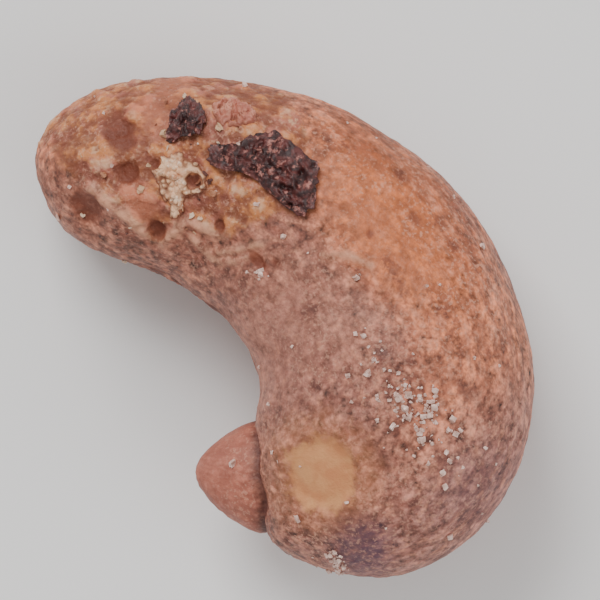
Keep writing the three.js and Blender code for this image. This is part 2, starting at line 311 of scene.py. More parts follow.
def smoothstep(value, low, high):
    """0 below low, 1 above high, smooth between."""
    part = np.clip((value - low) / (high - low), 0.0, 1.0)
    return part * part * (3.0 - 2.0 * part)


def boxy(value, power):
    """Signed power that turns a circle's cosine or sine into a rounded box's."""
    return np.sign(value) * np.abs(value) ** (2.0 / power)


def cap_share(t, span, power):
    """Share of the full width that an end leaves at distance t from its tip."""
    inside = np.clip(1.0 - t / span, 0.0, 1.0)
    return (1.0 - inside**power) ** (1.0 / power)


def section_at(form, t):
    """Middle line and half sizes at each share t of the nut's length."""
    bell = (
        form.half_width_thin * (1 - t) * (1 - 2 * t)
        + form.half_width_waist * 4 * t * (1 - t)
        + form.half_width_thick * t * (2 * t - 1)
    )
    thin = cap_share(t, form.thin_cap_share, form.thin_cap_power)
    thick = cap_share(1 - t, form.thick_cap_share, form.thick_cap_power)
    half_width = bell * thin * thick
    rise = smoothstep(t, 0.0, form.level_share)
    return SimpleNamespace(
        angle=form.thin_end + (form.thick_end - form.thin_end) * t,
        radius=form.bend_radius - form.curl_in * np.maximum(0.0, (t - 0.5) / 0.5) ** 2,
        height=form.thin_height + (form.thick_height - form.thin_height) * rise,
        half_width=half_width,
        half_thickness=half_width * (form.thin_ratio + (form.thick_ratio - form.thin_ratio) * t),
    )


def reach_from(place, x, y):
    """Distance from the middle of a place given in millimetres, 1 on its oval outline."""
    middle_x, middle_y, radius_x, radius_y = (size * MM for size in place[:4])
    return np.hypot((x - middle_x) / radius_x, (y - middle_y) / radius_y)


def glow(place, x, y):
    """1 in the middle of a place, fading out round it."""
    return np.exp(-(reach_from(place, x, y) ** 2))


def relief_depth(form, t, around, x, y):
    """Depth of the broad relief under the plain form."""
    depth = np.zeros_like(x)
    for deep, along, times, phase in SWELLS:
        depth += deep * MM * np.sin(along * t + times * around + phase)
    from_back = np.arctan2(np.sin(around), np.cos(around))
    from_notch = np.pi - np.abs(from_back)
    depth += form.suture_back * np.exp(-((from_back / form.suture_angle) ** 2))
    depth += form.suture_notch * np.exp(-((from_notch / form.suture_angle) ** 2))
    upper = np.sin(around) > 0
    for hollow in [BALD_PATCH, *DENTS]:
        deep, rim = hollow[4] * MM, hollow[5]
        depth += upper * deep * (1 - smoothstep(reach_from(hollow, x, y), 1 - rim, 1 + 0.2 * rim))
    return depth * smoothstep(t, 0.0, 0.07) * smoothstep(1 - t, 0.0, 0.07)


def skin_points(form, t, around):
    """Points of the skin at t along the nut and the angle round it, 0 at the back, 90 degrees on top."""
    section = section_at(form, t)
    out_x, out_y = np.cos(section.angle), np.sin(section.angle)
    out = section.radius + section.half_width * boxy(np.cos(around), form.section_power)
    fuller = 1 + form.fuller_back * np.cos(around)
    up = section.height + section.half_thickness * boxy(np.sin(around), form.section_power) * fuller
    x = form.bend_x + out * out_x
    y = form.bend_y + out * out_y
    from_cheek = np.hypot(x - form.cheek_x, y - form.cheek_y) / form.cheek_radius
    swollen = form.cheek_out * np.exp(-(from_cheek**2))
    x = x + swollen * np.cos(form.cheek_turn)
    y = y + swollen * np.sin(form.cheek_turn)
    depth = relief_depth(form, t, around, x, y)
    inward = depth * np.cos(around)
    height = np.maximum(0.0, up - depth * np.sin(around))
    return np.stack([x - inward * out_x, y - inward * out_y, height], -1)


def lifted_points(form, t, around, lift):
    """The same places lifted off the skin along its outward normal."""
    step = 0.001
    along = skin_points(form, t + step, around) - skin_points(form, t - step, around)
    across = skin_points(form, t, around + step) - skin_points(form, t, around - step)
    normal = np.cross(across, along)
    normal /= np.linalg.norm(normal, axis=-1, keepdims=True)
    return skin_points(form, t, around) + normal * np.asarray(lift)[..., None]


def share_along(form, x, y):
    """Share t of the nut's length and distance from the bend centre of points seen from above."""
    away_x, away_y = x - form.bend_x, y - form.bend_y
    t = (form.thin_end - np.arctan2(away_y, away_x)) / (form.thin_end - form.thick_end)
    return t, np.hypot(away_x, away_y)


def place_under(form, x, y):
    """Places on the upper skin that lie under points seen from above."""
    t, out = share_along(form, x, y)
    section = section_at(form, t)
    across = np.clip((out - section.radius) / section.half_width, -1.0, 1.0)
    return t, np.arccos(boxy(across, 4.0 / form.section_power))


def kernel_arrays(form, rings, spots):
    """Vertices and faces of the kernel: rings of points closed by one point at each tip."""
    even = (np.arange(rings) + 0.5) / rings
    slowing = 0.06
    pace = even / np.hypot(even, slowing) * (1 - even) / np.hypot(1 - even, slowing)
    t = (np.cumsum(pace) / pace.sum())[:-1]
    turned = 2 * np.pi * np.arange(spots) / spots
    at_seams, on_top = 0.15, 0.3
    around = turned - at_seams * np.sin(2 * turned) / 2 + on_top * np.cos(turned)
    grid_t, grid_around = np.meshgrid(t, around, indexing="ij")
    tips = skin_points(form, np.array([0.0, 1.0]), np.zeros(2))
    vertices = np.vstack([tips[:1], skin_points(form, grid_t, grid_around).reshape(-1, 3), tips[1:]])
    at = 1 + np.arange((rings - 1) * spots).reshape(rings - 1, spots)
    beside = np.roll(at, -1, axis=1)
    quads = np.stack([at[:-1], beside[:-1], beside[1:], at[1:]], -1).reshape(-1, 4)
    last = len(vertices) - 1
    thin_fan = [(0, b, a) for a, b in zip(at[0], beside[0])]
    thick_fan = [(last, a, b) for a, b in zip(at[-1], beside[-1])]
    return vertices, [*map(tuple, quads), *thin_fan, *thick_fan]


def nib_arrays(nib, segments, levels):
    """Vertices and faces of the nib: an egg that narrows and leans as it reaches out."""
    ball = bmesh.new()
    bmesh.ops.create_uvsphere(ball, u_segments=segments, v_segments=levels, radius=1.0)
    unit = np.array([vertex.co[:] for vertex in ball.verts])
    faces = [tuple(vertex.index for vertex in face.verts) for face in ball.faces]
    ball.free()
    along, out, up = unit[:, 0], -unit[:, 1], unit[:, 2]
    narrow = 1 - nib.pinch * np.maximum(0.0, out)
    x = nib.half_length * along * narrow - nib.lean * nib.reach * out * np.abs(out)
    y = -nib.reach * out
    cosine, sine = math.cos(nib.turned), math.sin(nib.turned)
    vertices = np.stack([
        nib.centre_x + cosine * x - sine * y,
        nib.centre_y + sine * x + cosine * y,
        nib.centre_z + nib.half_height * up * narrow,
    ], -1)
    return vertices, faces


def frame_shift(form, nib):
    """Move from the nut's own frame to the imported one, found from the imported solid's box."""
    points = np.vstack([kernel_arrays(form, 72, 60)[0], nib_arrays(nib, 24, 16)[0]])
    low, high = (np.array(corner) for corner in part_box("cashew_nut"))
    shift = (low + high) / 2 - (points.min(0) + points.max(0)) / 2
    shift[2] = low[2] - points[:, 2].min()
    return shift


def path_distance(path, x, y):
    """Distance of points seen from above from a path given in millimetres."""
    knots = np.array(path) * MM
    nearest = np.full_like(x, 1.0)
    for (ax, ay), (bx, by) in zip(knots[:-1], knots[1:]):
        run_x, run_y = bx - ax, by - ay
        part = np.clip(((x - ax) * run_x + (y - ay) * run_y) / (run_x**2 + run_y**2), 0.0, 1.0)
        nearest = np.minimum(nearest, np.hypot(x - ax - part * run_x, y - ay - part * run_y))
    return nearest


def stripe(path, x, y, width):
    """1 on a path given in millimetres, fading out over a width in metres."""
    return np.exp(-((path_distance(path, x, y) / width) ** 2))


def depth_inside(outline, x, y):
    """Distance from a closed outline given in millimetres, negative outside it."""
    knots = np.array(outline) * MM
    within = np.zeros(x.shape, bool)
    for (ax, ay), (bx, by) in zip(knots, np.roll(knots, -1, axis=0)):
        crossing = (ay > y) != (by > y)
        height = by - ay if by != ay else 1.0
        within ^= crossing & (x < ax + (y - ay) * (bx - ax) / height)
    distance = path_distance([*outline, outline[0]], x, y)
    return np.where(within, distance, -distance)


def straightened(form, points):
    """Points as if the bend were straightened: metres along, outwards and up from the middle line."""
    t, out = share_along(form, points[:, 0], points[:, 1])
    inner = np.clip(t, 0.0, 1.0)
    section = section_at(form, inner)
    arc = form.bend_radius * (form.thin_end - form.thick_end) * t
    return np.stack([arc, out - section.radius, points[:, 2] - section.height], -1), section


# Meshes

def new_object(name, data):
    """New object with its data, in the scene."""
    made = bpy.data.objects.new(name, data)
    bpy.context.scene.collection.objects.link(made)
    return made


def mesh_object(name, vertices, faces):
    """New smooth object with its place in its mesh."""
    mesh = bpy.data.meshes.new(name)
    mesh.from_pydata([tuple(vertex) for vertex in vertices], [], faces)
    mesh.update()
    mesh.shade_smooth()
    return new_object(name, mesh)


def vertex_places(mesh):
    """Vertex coordinates as rows."""
    places = np.empty(len(mesh.vertices) * 3)
    mesh.vertices.foreach_get("co", places)
    return places.reshape(-1, 3)


def surface_distance(arrays, points):
    """Distance of each point from a surface, up to a millimetre."""
    vertices, faces = arrays
    tree = BVHTree.FromPolygons([tuple(vertex) for vertex in vertices], faces)
    far = 1.0 * MM
    found = (tree.find_nearest(Vector(point), far)[3] for point in points)
    return np.array([far if distance is None else distance for distance in found])


def write_numbers(mesh, name, values):
    """Store one number, or one vector, for each vertex."""
    kind, field = ("FLOAT_VECTOR", "vector") if values.ndim == 2 else ("FLOAT", "value")
    mesh.attributes.new(name, kind, "POINT").data.foreach_set(field, np.ascontiguousarray(values).ravel())


def settle(piece):
    """Replace the piece's mesh by what its modifiers make of it, and drop them."""
    bpy.context.view_layer.update()
    made = piece.evaluated_get(bpy.context.evaluated_depsgraph_get())
    mesh = bpy.data.meshes.new_from_object(made)
    piece.modifiers.clear()
    old = piece.data
    piece.data = mesh
    bpy.data.meshes.remove(old)
    mesh.name = piece.name
    return piece


def ride_and_replace(piece, slot, *nodes):
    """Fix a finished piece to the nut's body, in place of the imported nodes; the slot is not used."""
    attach(piece, BODY)
    if nodes:
        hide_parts(*nodes)


# Nodes

def opaque(rgb):
    """Colour with full alpha."""
    return (*rgb, 1.0)


class Tree:
    """Node tree that grows by the steps used here; each step gives its result."""

    def __init__(self, group):
        self.group = group

    def fill(self, node, values):
        """Set or link a node's inputs by name or number."""
        for key, value in values.items():
            if isinstance(value, bpy.types.NodeSocket):
                self.group.links.new(value, node.inputs[key])
            else:
                node.inputs[key].default_value = value
        return node

    def add(self, kind, values=None, **settings):
        """Add a node, set its properties and fill its inputs."""
        node = self.group.nodes.new(kind)
        for key, value in settings.items():
            setattr(node, key, value)
        return self.fill(node, values or {})

    def calc(self, operation, *values):
        """Calculation with numbers."""
        return self.add("ShaderNodeMath", dict(enumerate(values)), operation=operation).outputs[0]

    def times(self, first, second):
        """Product."""
        return self.calc("MULTIPLY", first, second)

    def times_plus(self, first, second, third):
        """Product of the first two, plus the third."""
        return self.calc("MULTIPLY_ADD", first, second, third)

    def minus(self, first, second):
        """Difference."""
        return self.calc("SUBTRACT", first, second)

    def vector(self, operation, first, second):
        """Calculation with vectors."""
        values = {0: first, "Scale" if operation == "SCALE" else 1: second}
        return self.add("ShaderNodeVectorMath", values, operation=operation).outputs[0]

    def scaled(self, vector, factors):
        """Vector times three factors."""
        return self.vector("MULTIPLY", vector, factors)

    def ramp(self, value, low, high, to_low=0.0, to_high=1.0):
        """Smooth change from to_low to to_high while the value goes from low to high."""
        values = {0: value, 1: low, 2: high, 3: to_low, 4: to_high}
        return self.add("ShaderNodeMapRange", values, interpolation_type="SMOOTHSTEP").outputs[0]

    def per(self, size):
        """How many features of a size go into a metre."""
        return self.calc("DIVIDE", 1.0, size) if isinstance(size, bpy.types.NodeSocket) else 1.0 / size

    def cloud(self, vector, size, detail=3.0, rough=0.55, seed=0.0):
        """Noise from 0 to 1 with features of a size in metres."""
        values = {"Vector": vector, "W": seed, "Scale": self.per(size), "Detail": detail, "Roughness": rough}
        return self.add("ShaderNodeTexNoise", values, noise_dimensions="4D").outputs[0]

    def cells(self, vector, size, seed=0.0):
        """Distance from the nearest scattered point, 1 is about the spacing in metres."""
        values = {"Vector": vector, "W": seed, "Scale": self.per(size)}
        return self.add("ShaderNodeTexVoronoi", values, voronoi_dimensions="4D").outputs["Distance"]

    def shake(self, vector, size, amount):
        """Uneven shift with features of a size and up to about an amount, both in metres."""
        warp = self.add("ShaderNodeTexNoise", {"Vector": vector, "Scale": 1 / size, "Detail": 2.0})
        centred = self.vector("SUBTRACT", warp.outputs[1], (0.5, 0.5, 0.5))
        return self.scaled(centred, (amount, amount, amount))

    def blend(self, factor, first, second):
        """Mix of two colours."""
        return self.add("ShaderNodeMix", {0: factor, 6: first, 7: second}, data_type="RGBA").outputs[2]

    def layered(self, tone, layers):
        """Tone with colours laid over it one after another, each by its share."""
        for factor, rgb in layers:
            tone = self.blend(factor, tone, opaque(rgb))
        return tone

    def bump(self, height, distance):
        """Normal of a fine bump of a height in metres."""
        values = {"Height": height, "Distance": distance, "Strength": 1.0}
        return self.add("ShaderNodeBump", values).outputs[0]

    def stored(self, name, output="Fac"):
        """Stored attribute inside a material."""
        node = self.add("ShaderNodeAttribute", attribute_name=name, attribute_type="GEOMETRY")
        return node.outputs[output]

    def named(self, name, kind="FLOAT"):
        """Stored attribute inside a geometry tree."""
        node = self.add("GeometryNodeInputNamedAttribute", {"Name": name}, data_type=kind)
        return node.outputs["Attribute"]

    def keep(self, geometry, name, value):
        """Geometry with one number stored for each point."""
        values = {"Geometry": geometry, "Name": name, "Value": value}
        store = self.add("GeometryNodeStoreNamedAttribute", values, data_type="FLOAT", domain="POINT")
        return store.outputs[0]

    def finish(self, geometry, material):
        """Close a geometry tree with Realize Instances and Set Material."""
        real = self.add("GeometryNodeRealizeInstances", {"Geometry": geometry}).outputs[0]
        painted = self.add("GeometryNodeSetMaterial", {"Geometry": real, "Material": material})
        self.add("NodeGroupOutput", {0: painted.outputs[0]})
        return self.group


def geometry_tree(name, values):
    """Geometry tree and what it is given: a geometry, and an input named and typed after each value."""
    group = bpy.data.node_groups.new(name, "GeometryNodeTree")
    for side in ("OUTPUT", "INPUT"):
        group.interface.new_socket("Geometry", in_out=side, socket_type="NodeSocketGeometry")
    kinds = {float: "NodeSocketFloat", int: "NodeSocketInt", bpy.types.Material: "NodeSocketMaterial"}
    for label, value in values.items():
        group.interface.new_socket(label, in_out="INPUT", socket_type=kinds[type(value)])
    tree = Tree(group)
    return tree, tree.add("NodeGroupInput").outputs


def run_tree(piece, group, values):
    """Run a geometry tree on a piece with its named inputs set, and keep the plain mesh."""
    modifier = piece.modifiers.new(group.name, "NODES")
    modifier.node_group = group
    for item in group.interface.items_tree:
        if item.item_type == "SOCKET" and item.in_out == "INPUT" and item.name in values:
            modifier[item.identifier] = values[item.name]
    return settle(piece)


def pebbles(tree, grain, size, seed):
    """Close small bumps of the skin, 1 on their tops and 0 in the gaps, the same in relief and colour."""
    drawn = tree.scaled(grain, (0.7, 1.0, 1.0))
    warped = tree.vector("ADD", drawn, tree.shake(grain, 1.1 * MM, 1.1 * MM))
    return tree.ramp(tree.cells(warped, size, seed), 0.75, 0.15)


def relief_tree(values):
    """Fine relief of the skin: veins, bumps, pits, torn bald patch, crease, crust and folds."""
    tree, given = geometry_tree("skin_relief", values)
    times, times_plus, minus = tree.times, tree.times_plus, tree.minus
    ramp, cloud, named = tree.ramp, tree.cloud, tree.named
    seed = given["Seed"]
    place = tree.add("GeometryNodeInputPosition").outputs[0]
    grain = named("grain", "FLOAT_VECTOR")

    torn_reach = times_plus(minus(cloud(place, 1.5 * MM, 4.0, 0.6, seed), 0.5), 1.0, named("bald_reach"))
    bald = ramp(torn_reach, 0.6, 1.05, 1.0, 0.0)
    lip = times(ramp(torn_reach, 0.9, 1.0), ramp(torn_reach, 1.05, 1.3, 1.0, 0.0))

    crust_noise = minus(cloud(place, 1.4 * MM, 3.0, 0.6, 21.0), 0.5)
    crust = ramp(times_plus(crust_noise, 2.6, named("crust")), -0.1, 0.35)
    lively = minus(times_plus(bald, -0.85, 1.0), times(named("smooth"), 0.75))
    lively = tree.calc("MAXIMUM", lively, 0.08)

    streaks = cloud(tree.scaled(grain, (0.2, 1.0, 1.0)), given["Vein Spacing"], 3.0, 0.5, seed)
    ridge = minus(1.0, tree.calc("ABSOLUTE", times_plus(streaks, 4.0, -2.0)))
    gate = ramp(cloud(place, 4.0 * MM, 2.0, 0.5, seed), 0.4, 0.6)
    vein = times(tree.calc("POWER", tree.calc("MAXIMUM", ridge, 0.0), 2.0), gate)
    height = times(vein, given["Vein Depth"])

    bumps = minus(pebbles(tree, grain, given["Pebble Size"], seed), 0.5)
    finer = minus(cloud(place, 0.42 * MM, 3.0, 0.6, 14.0), 0.5)
    height = times_plus(times_plus(finer, 1.3, bumps), given["Pebble Depth"], height)

    holes = ramp(tree.cells(place, given["Pit Spacing"], seed), 0.06, 0.2, 1.0, 0.0)
    some = ramp(cloud(place, 3.0 * MM, 1.0, 0.5, 9.0), 0.45, 0.6)
    holes = times(holes, tree.calc("MAXIMUM", some, crust))
    height = times(minus(height, times(holes, given["Pit Depth"])), lively)

    lumps = tree.cells(tree.scaled(place, (1.0, 1.0, 0.8)), 0.95 * MM, 17.0)
    rugged = cloud(place, 0.5 * MM, 4.0, 0.7, 18.0)
    lumps = minus(times_plus(ramp(lumps, 0.65, 0.1), 0.55, times(rugged, 1.3)), 0.87)
    height = times_plus(times(lumps, crust), given["Crust Height"], height)

    broken = ramp(cloud(place, 0.7 * MM, 3.0, 0.6, 25.0), 0.32, 0.6, 0.25, 1.1)
    height = times_plus(times(named("folds"), broken), given["Fold Height"], height)
    pitted = ramp(named("pit_reach"), 0.95, 0.5, 0.0, -1.0)
    height = times_plus(pitted, given["Pit Depth"], height)

    height = times_plus(minus(times(lip, 0.35), bald), given["Skin Thickness"], height)
    height = minus(height, times(named("crease"), given["Crease Depth"]))
    above = tree.add("ShaderNodeSeparateXYZ", {0: place}).outputs[2]
    height = times(height, ramp(above, 0.02 * MM, 0.6 * MM))

    offset = tree.vector("SCALE", tree.add("GeometryNodeInputNormal").outputs[0], height)
    geometry = given["Geometry"]
    kept = {"bald": bald, "crusted": crust, "holes": holes, "relief": tree.calc("DIVIDE", height, 0.1 * MM)}
    for name, value in kept.items():
        geometry = tree.keep(geometry, name, value)
    moved = tree.add("GeometryNodeSetPosition", {"Geometry": geometry, "Offset": offset}).outputs[0]
    return tree.finish(moved, given["Finish"])


def scatter_tree(name, share_name, crystal, values):
    """Grains strewn over a skin where an attribute lets them: salt crystals, or lumpy crumbs."""
    tree, given = geometry_tree(name, values)
    strewn = tree.add("GeometryNodeDistributePointsOnFaces", {
        "Mesh": given["Geometry"], "Distance Min": given["Gap"], "Density Max": given["Density"],
        "Density Factor": tree.named(share_name), "Seed": given["Seed"],
    }, distribute_method="POISSON").outputs
    if crystal:
        cube = tree.add("GeometryNodeMeshCube", {"Size": (1.0, 1.0, 1.0)}).outputs[0]
        grain = tree.add("GeometryNodeSubdivideMesh", {0: cube, "Level": 1}).outputs[0]
    else:
        grain = tree.add("GeometryNodeMeshIcoSphere", {"Radius": 0.5, "Subdivisions": 3}).outputs[0]

    def draw(kind, low, high, offset):
        """Random number or vector for each grain."""
        first, result = (0, 0) if kind == "FLOAT_VECTOR" else (2, 1)
        limits = {first: low, first + 1: high, "Seed": tree.calc("ADD", given["Seed"], offset)}
        return tree.add("FunctionNodeRandomValue", limits, data_type=kind).outputs[result]

    spread = tree.calc("POWER", draw("FLOAT", 0.0, 1.0, 3.0), 2.2)
    size = tree.times(given["Size"], tree.times_plus(spread, 1.2, 0.5))
    uneven = draw("FLOAT_VECTOR", (0.65, 0.65, 0.5), (1.25, 1.25, 1.0), 7.0)
    lift = tree.vector("SCALE", strewn["Normal"], tree.times(size, 0.22))
    points = tree.add("GeometryNodeSetPosition", {0: strewn["Points"], "Offset": lift}).outputs[0]
    points = tree.keep(points, "tone", draw("FLOAT", 0.0, 1.0, 13.0))
    tilt = 0.9 if crystal else math.pi
    spin = draw("FLOAT_VECTOR", (-tilt, -tilt, 0.0), (tilt, tilt, math.tau), 17.0)
    spin = tree.add("FunctionNodeEulerToRotation", {0: spin}).outputs[0]
    laid = tree.add("FunctionNodeRotateRotation", {0: strewn["Rotation"], 1: spin}, rotation_space="LOCAL")
    copies = tree.add("GeometryNodeInstanceOnPoints", {
        "Points": points, "Instance": grain, "Rotation": laid.outputs[0],
        "Scale": tree.vector("SCALE", uneven, size),
    }).outputs[0]
    real = tree.add("GeometryNodeRealizeInstances", {0: copies}).outputs[0]
    wave, amount = (0.12 * MM, 0.22 * MM) if crystal else (0.26 * MM, 0.6 * MM)
    lumps = tree.shake(tree.add("GeometryNodeInputPosition").outputs[0], wave, amount)
    real = tree.add("GeometryNodeSetPosition", {0: real, "Offset": lumps}).outputs[0]
    return tree.finish(real, given["Finish"])


# Finishes

def new_material(name):
    """Material with its tree, its principled shader and the place on the object."""
    material = bpy.data.materials.new(name)
    material.use_nodes = True
    tree = Tree(material.node_tree)
    place = tree.add("ShaderNodeTexCoord").outputs["Object"]
    return material, tree, material.node_tree.nodes["Principled BSDF"], place


def skin_material(colours, pebble_size, seed):
    """Roasted skin: mottled terracotta with freckles, salt dust, a crusted end, a bald patch and a stain,
    with painted shade along the back edge, in the nib's crease and over the thick end.
    """
    material, tree, shader, place = new_material("cashew_skin")
    times, times_plus, minus = tree.times, tree.times_plus, tree.minus
    ramp, cloud, stored = tree.ramp, tree.cloud, tree.stored
    grain = stored("grain", "Vector")
    relief, crusted, flush, dusty = (stored(name) for name in ("relief", "crusted", "flush", "dusty"))
    calm = times_plus(stored("smooth"), -0.5, 1.0)

    drawn = tree.scaled(grain, (0.45, 1.0, 1.0))
    patches = cloud(drawn, 3.0 * MM)
    blotches = cloud(drawn, 1.2 * MM, 3.0, 0.6, 15.0)
    streaks = cloud(tree.scaled(grain, (0.2, 1.0, 1.0)), 0.45 * MM, 4.0, 0.6, 2.0)
    streaked = times(ramp(streaks, 0.5, 0.7), times_plus(flush, 0.35, 0.3))
    tops = pebbles(tree, grain, pebble_size, seed)
    mottle = cloud(tree.scaled(grain, (0.75, 1.0, 1.0)), 0.5 * MM, 3.0, 0.65, 5.0)
    tone = tree.layered(opaque(colours.ground), [
        (ramp(patches, 0.42, 0.66, 0.0, 0.5), colours.light),
        (ramp(patches, 0.46, 0.3, 0.0, 0.22), colours.dark),
        (times(stored("warmth"), 0.75), colours.warm),
        (times(stored("greyness"), 0.62), colours.mauve),
        (times(flush, 0.72), colours.flush),
        # Reddish brown band along the back edge: partly roasted colour, partly painted shade.
        (times(stored("browned_and_rim_shade"), ramp(blotches, 0.42, 0.58, 0.25, 0.9)), colours.russet_and_rim_shade),
        (times(streaked, calm), colours.dark),
        (times(ramp(tops, 0.5, 1.0, 0.0, 0.35), calm), colours.light),
        (times(ramp(tops, 0.4, 0.0, 0.0, 0.5), calm), colours.dark),
        (times(ramp(mottle, 0.5, 0.68, 0.0, 0.8), calm), colours.light),
        (times(ramp(mottle, 0.49, 0.33, 0.0, 0.74), calm), colours.dark),
    ])
    specks = minus(cloud(place, 0.36 * MM, 2.0, 0.6, 7.0), 0.49)
    tone = tree.vector("SCALE", tone, times_plus(times(specks, calm), 3.8, 1.0))

    ragged = minus(cloud(place, 0.5 * MM, 3.0, 0.65, 8.0), 0.5)
    freckles = times_plus(ragged, 1.1, tree.cells(drawn, 1.5 * MM, 4.0))
    some = ramp(cloud(place, 2.2 * MM, 1.0, 0.5, 6.0), 0.46, 0.6, 0.0, 0.6)
    spots = times_plus(ragged, 2.2, stored("spot_reach"))
    tone = tree.layered(tone, [
        (times(flush, 0.52), colours.flush),
        (times(ramp(freckles, 0.34, 0.2), some), colours.freckle_and_crease_shade),
        (ramp(spots, 1.3, 0.3, 0.0, 0.6), colours.freckle_and_crease_shade),
        # Purplish stain, and a weaker painted shade over the thick end.
        (times(stored("stain_and_shade"), ramp(mottle, 0.3, 0.65, 0.9, 0.55)), colours.stain_and_shade),
        (times(stored("nib"), 0.62), colours.nib),
    ])

    wide = cloud(place, 1.1 * MM, 3.0, 0.6, 31.0)
    fine = cloud(place, 0.42 * MM, 4.0, 0.7, 33.0)
    crust = tree.layered(opaque(colours.gold), [
        (ramp(wide, 0.42, 0.6), colours.pink_scrap),
        (ramp(fine, 0.52, 0.66, 0.0, 0.65), colours.pale_crumb),
        (ramp(fine, 0.46, 0.35, 0.0, 0.5), colours.scorch),
        (ramp(relief, 0.2, 1.3, 0.0, 0.85), colours.pale_crumb),
        (ramp(relief, -0.1, -1.2, 0.0, 0.8), colours.scorch),
        (times(stored("blush"), ramp(wide, 0.3, 0.6, 0.4, 0.8)), colours.blush),
    ])
    tone = tree.blend(times(crusted, 0.85), tone, crust)

    ridges = times(stored("folds"), ramp(mottle, 0.36, 0.6, 0.15, 0.75))
    pits = times_plus(ragged, 1.1, stored("pit_reach"))
    drifts = ramp(cloud(place, 3.0 * MM, 2.0, 0.5, 12.0), 0.38, 0.62, 0.25, 1.0)
    drifts = times(tree.calc("MAXIMUM", drifts, dusty), ramp(pits, 0.6, 1.2, 0.25, 1.0))
    dusted = times(ramp(cloud(place, 0.2 * MM, 2.0, 0.6, 1.0), 0.51, 0.66, 0.0, 0.45), drifts)
    lobed = minus(cloud(place, 1.3 * MM, 2.0, 0.5, 43.0), 0.5)
    worn = times_plus(ragged, 0.7, times_plus(lobed, 0.8, stored("bald_reach")))
    tone = tree.layered(tone, [
        (tree.calc("MINIMUM", ridges, 0.8), colours.light),
        (times(ridges, 0.3), colours.pale_crumb),
        # Brown pits; the wide one on the thin lobe's lower side is partly painted shade.
        (ramp(pits, 1.15, 0.55, 0.0, 0.85), colours.scorch),
        (times(stored("holes"), 0.75), colours.scorch),
        (ramp(relief, 0.0, -0.8, 0.0, 0.4), colours.dark),
        (times(ramp(mottle, 0.52, 0.38, 0.0, 0.4), dusty), colours.freckle_and_crease_shade),
        (dusted, colours.dust),
        (ramp(worn, 1.9, 1.0, 0.0, 0.25), colours.gold),
    ])

    shade = ramp(cloud(place, 0.9 * MM, 3.0, 0.5, 4.0), 0.4, 0.7, 0.0, 0.75)
    flesh = tree.blend(shade, opaque(colours.kernel), opaque(KERNEL_SHADE))
    tone = tree.blend(ramp(worn, 1.08, 0.72, 0.0, 0.94), tone, flesh)
    # Painted shade: the crease between nib and lobe darkened with the freckle colour.
    tone = tree.layered(tone, [(ramp(stored("crease"), 0.1, 1.0, 0.0, 0.75), colours.freckle_and_crease_shade)])

    gloss = cloud(drawn, 1.8 * MM, 3.0, 0.6, 10.0)
    grit = cloud(place, 0.15 * MM, 3.0, 0.7, 11.0)
    uneven = times_plus(times(streaks, 0.8), minus(1.0, stored("bald")), grit)
    uneven = times_plus(times(fine, crusted), 2.4, uneven)
    tree.fill(shader, {
        "Base Color": tone,
        "Roughness": times_plus(dusted, 0.2, ramp(gloss, 0.35, 0.7, 0.46, 0.7)),
        "Specular IOR Level": 0.4,
        "Normal": tree.bump(uneven, 0.055 * MM),
    })
    return material


def dry_material(name, tones, patch_size, grit, roughness):
    """Dry stuck matter: its own tone, and others in patches, in specks and in its hollows, with grit."""
    material, tree, shader, place = new_material(name)
    own, patch, speck, hollow = (opaque(rgb) for rgb in tones)
    wide = tree.cloud(place, patch_size, 3.0, 0.6, 1.0)
    fine = tree.cloud(place, 0.3 * MM, 3.0, 0.65, 2.0)
    tone = tree.blend(tree.ramp(wide, 0.4, 0.64), own, patch)
    # Specks; on the dark flakes partly painted glints.
    tone = tree.blend(tree.ramp(fine, 0.53, 0.66, 0.0, 0.85), tone, speck)
    # The lowest places take the hollow tone; on the dark flakes it is painted shade in the folds.
    tone = tree.blend(tree.ramp(tree.stored("lift"), 0.2, 0.0, 0.0, 0.85), tone, hollow)
    tree.fill(shader, {
        "Base Color": tone,
        "Roughness": tree.ramp(fine, 0.3, 0.7, *roughness),
        "Normal": tree.bump(tree.cloud(place, grit, 4.0, 0.7, 3.0), 0.06 * MM),
    })
    return material


def salt_material(colours):
    """Salt crystals: white and a little clear."""
    material, tree, shader, place = new_material("salt_crystal")
    cloudy = tree.ramp(tree.cloud(place, 0.3 * MM, 2.0, 0.5, 1.0), 0.35, 0.65)
    tree.fill(shader, {
        "Base Color": tree.blend(cloudy, opaque(colours.salt), opaque(SALT_SHADE)),
        "Roughness": 0.22,
        "IOR": 1.54,
        "Normal": tree.bump(tree.cloud(place, 0.08 * MM, 2.0, 0.6, 2.0), 0.01 * MM),
    })
    return material


def crumb_material(colours):
    """Crumbs: brown, reddish, cream and dark ones by their stored tone."""
    material, tree, shader, place = new_material("crumb_mix")
    ladder = tree.add("ShaderNodeValToRGB", {0: tree.stored("tone")})
    steps = ladder.color_ramp
    steps.interpolation = "CONSTANT"
    for number, (position, rgb) in enumerate(CRUMB_TONES):
        stop = steps.elements[number] if number < 2 else steps.elements.new(position)
        stop.position = position
        stop.color = opaque(rgb)
    fine = tree.cloud(place, 0.2 * MM, 3.0, 0.6, 2.0)
    dusted = tree.ramp(fine, 0.55, 0.75, 0.0, 0.5)
    tree.fill(shader, {
        "Base Color": tree.blend(dusted, ladder.outputs[0], opaque(colours.dust)),
        "Roughness": tree.ramp(fine, 0.3, 0.7, 0.45, 0.75),
        "Normal": tree.bump(tree.cloud(place, 0.09 * MM, 3.0, 0.7, 3.0), 0.03 * MM),
    })
    return material


# Scraps

